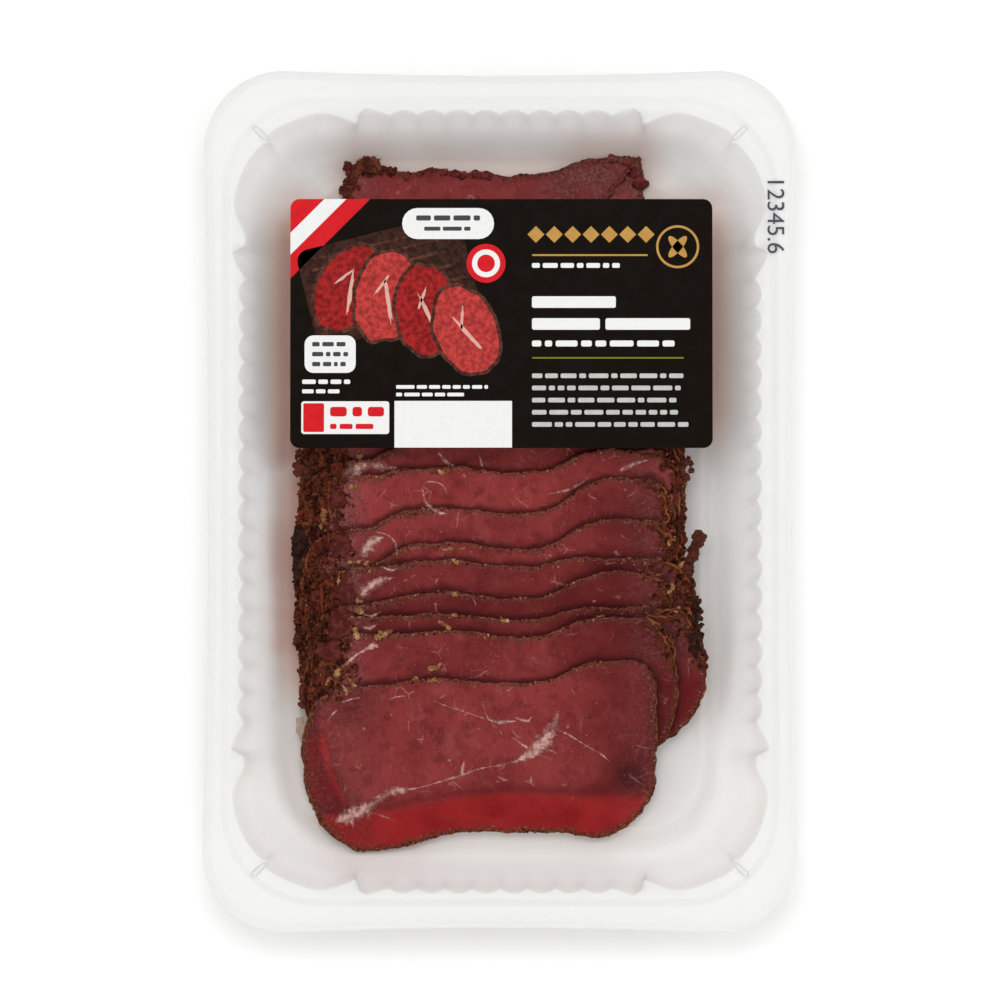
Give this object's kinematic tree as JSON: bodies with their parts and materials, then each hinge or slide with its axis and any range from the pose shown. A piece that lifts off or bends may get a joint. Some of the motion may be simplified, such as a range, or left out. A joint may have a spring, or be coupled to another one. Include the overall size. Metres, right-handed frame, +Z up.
{
  "type": "tray pack of sliced cured beef ham",
  "caption": "Sealed pack of thinly sliced, smoked cured beef ham: dark red slices with a brown spiced rim, shingled in a fluted white tray under a clear film with a printed label.",
  "frame": {"origin": "on the surface that the tray's foot ring rests on, under the middle of the tray", "axes": "+X to the pack's right, +Y to its upper end as the label reads, +Z up through the film"},
  "size_m": [0.1484, 0.216, 0.0245],
  "materials": {
    "tray": "satin white thermoformed sheet, slightly translucent",
    "film": "clear glossy lidding film, drawn tight",
    "label": "smooth black print with a satin coat",
    "meat": "moist dark red cured beef with a brown spiced rim"
  },
  "bodies": {
    "root": {"tray": "tray", "film": "film", "label": "label", "slice_01": "meat", "slice_02": "meat", "slice_03": "meat", "slice_04": "meat", "slice_05": "meat", "slice_06": "meat", "slice_07": "meat", "slice_08": "meat", "slice_09": "meat", "slice_10": "meat", "slice_11": "meat", "slice_12": "meat", "slice_13": "meat", "slice_14": "meat", "slice_15": "meat", "slice_16": "meat", "slice_17": "meat", "slice_18": "meat"}
  },
  "joints": []
}
